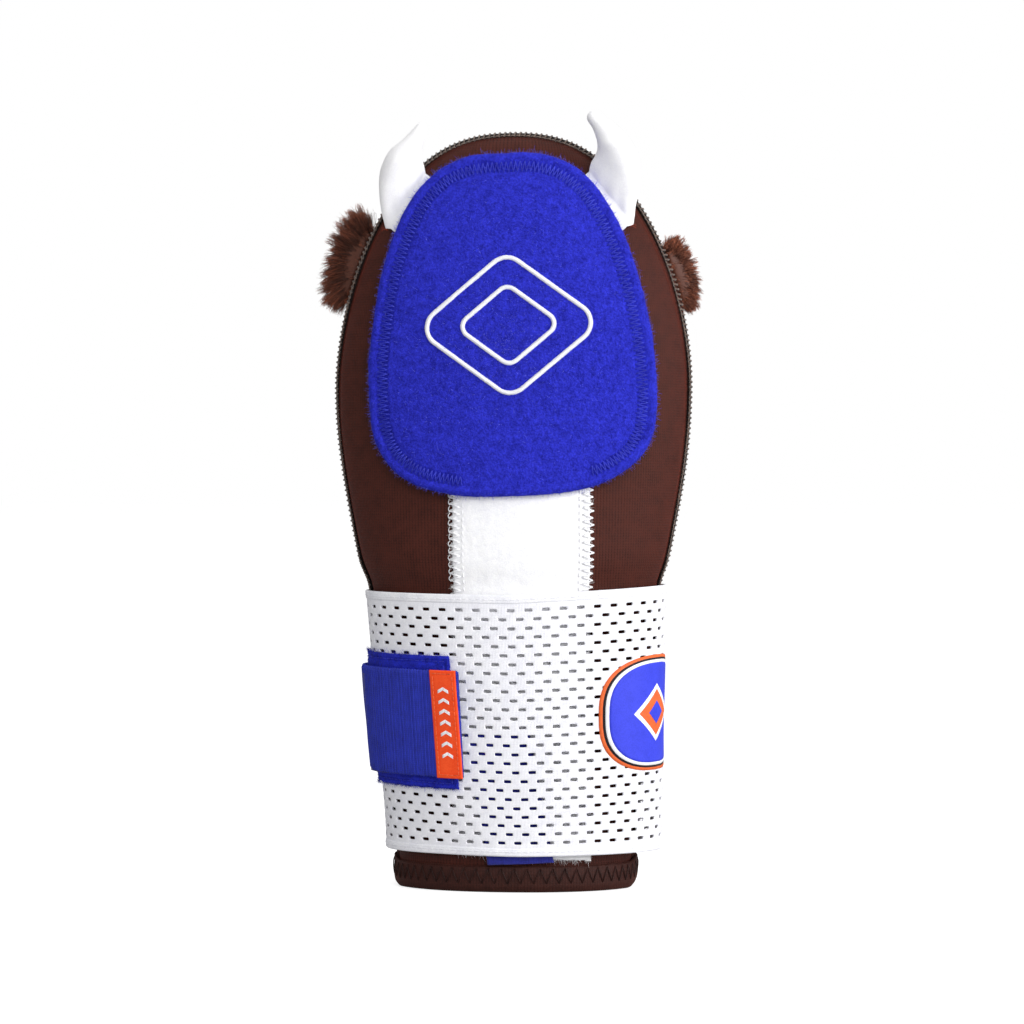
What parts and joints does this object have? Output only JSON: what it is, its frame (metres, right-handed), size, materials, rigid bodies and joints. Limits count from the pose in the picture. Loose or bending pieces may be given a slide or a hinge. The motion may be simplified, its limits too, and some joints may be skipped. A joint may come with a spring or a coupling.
{
  "type": "sliding mitt",
  "caption": "Base runner's sliding mitt: neoprene shell with stiff plates inside, mesh wrist band, peel-open hook-and-loop strap, felt patch, stuffed horns and fur ears.",
  "frame": {"origin": "centre of the wrist opening, on the plane that the cuff stands on", "axes": "+Z from the wrist opening to the fingertips, -Y out of the decorated back of the hand, +X toward the side away from the strap"},
  "size_m": [0.1515, 0.0657, 0.2918],
  "materials": {
    "neoprene": "jersey-faced neoprene, soft satin sheen",
    "binding": "folded knit binding",
    "seam_thread": "matt polyester thread",
    "plate": "smooth sheet plastic",
    "foam": "closed-cell foam",
    "liner": "knitted lining",
    "white_loop": "brushed loop pile",
    "white_thread": "satin thread",
    "blue_webbing": "ribbed elastic webbing",
    "backing": "non-woven backing",
    "felt": "thick fuzzy felt",
    "blue_thread": "thread, same tone as the felt",
    "horn_cloth": "smooth white knit",
    "stuffing": "polyester fibre",
    "mesh": "athletic mesh with slots",
    "badge": "printed transfer, blue in an orange rim",
    "blue_loop": "loop pile",
    "hook_tape": "moulded hook tape",
    "label": "woven label",
    "orange_thread": "label border thread",
    "fur": "long pile",
    "fur_backing": "woven backing"
  },
  "bodies": {
    "mitt": {"back_shell": "neoprene", "palm_shell": "neoprene", "edge_seam": "seam_thread", "back_cuff_binding": "binding", "palm_cuff_binding": "binding", "cuff_stitching": "seam_thread", "back_plate": "plate", "palm_plate": "plate", "back_foam": "foam", "palm_foam": "foam", "tip_bumper": "foam", "hand_liner": "liner", "loop_strip": "white_loop", "strip_stitching": "white_thread", "band_keeper": "blue_webbing", "patch_backing": "backing", "felt_patch": "felt", "patch_stitching": "blue_thread", "patch_embroidery": "white_thread", "horn_tab_left": "horn_cloth", "horn_tab_right": "horn_cloth", "mesh_band": "mesh", "band_edge_tapes": "mesh", "band_join_strip": "mesh", "band_tacks": "white_thread", "band_badge": "badge", "loop_patch": "blue_loop", "loop_patch_stitching": "blue_thread", "strap_fixed_run": "blue_webbing", "strap_anchor_stitching": "blue_thread"},
    "strap_end": {"strap_flap": "blue_webbing", "strap_hook_pad": "hook_tape", "strap_label": "label", "label_stitching": "orange_thread"},
    "horn_left": {"horn_left_cover": "horn_cloth", "horn_left_stuffing": "stuffing"},
    "horn_right": {"horn_right_cover": "horn_cloth", "horn_right_stuffing": "stuffing"},
    "ear_left": {"ear_left_fur": "fur", "ear_left_backing": "fur_backing"},
    "ear_right": {"ear_right_fur": "fur", "ear_right_backing": "fur_backing"}
  },
  "joints": [
    {"name": "strap_peel", "type": "hinge", "parent": "mitt", "child": "strap_end", "pos_m": [-0.059, 0.0003, 0.0625], "axis": [0.0887, 0, -0.9961], "range_deg": [0, 130]},
    {"name": "horn_left_bend", "type": "hinge", "parent": "mitt", "child": "horn_left", "pos_m": [-0.04113, -0.00881, 0.25961], "axis": [0.5929, 0, 0.8053], "range_deg": [-12, 35], "stiffness_Nm_per_rad": 0.02},
    {"name": "horn_right_bend", "type": "hinge", "parent": "mitt", "child": "horn_right", "pos_m": [0.0366, -0.01093, 0.26033], "axis": [0.6364, 0, -0.7714], "range_deg": [-12, 35], "stiffness_Nm_per_rad": 0.02},
    {"name": "ear_left_bend", "type": "hinge", "parent": "mitt", "child": "ear_left", "pos_m": [-0.06025, 0.00343, 0.23665], "axis": [0.3449, -0.0224, 0.9384], "range_deg": [-20, 30], "stiffness_Nm_per_rad": 0.01},
    {"name": "ear_right_bend", "type": "hinge", "parent": "mitt", "child": "ear_right", "pos_m": [0.06198, 0.00354, 0.23158], "axis": [0.3075, 0.0206, -0.9513], "range_deg": [-20, 30], "stiffness_Nm_per_rad": 0.01}
  ]
}
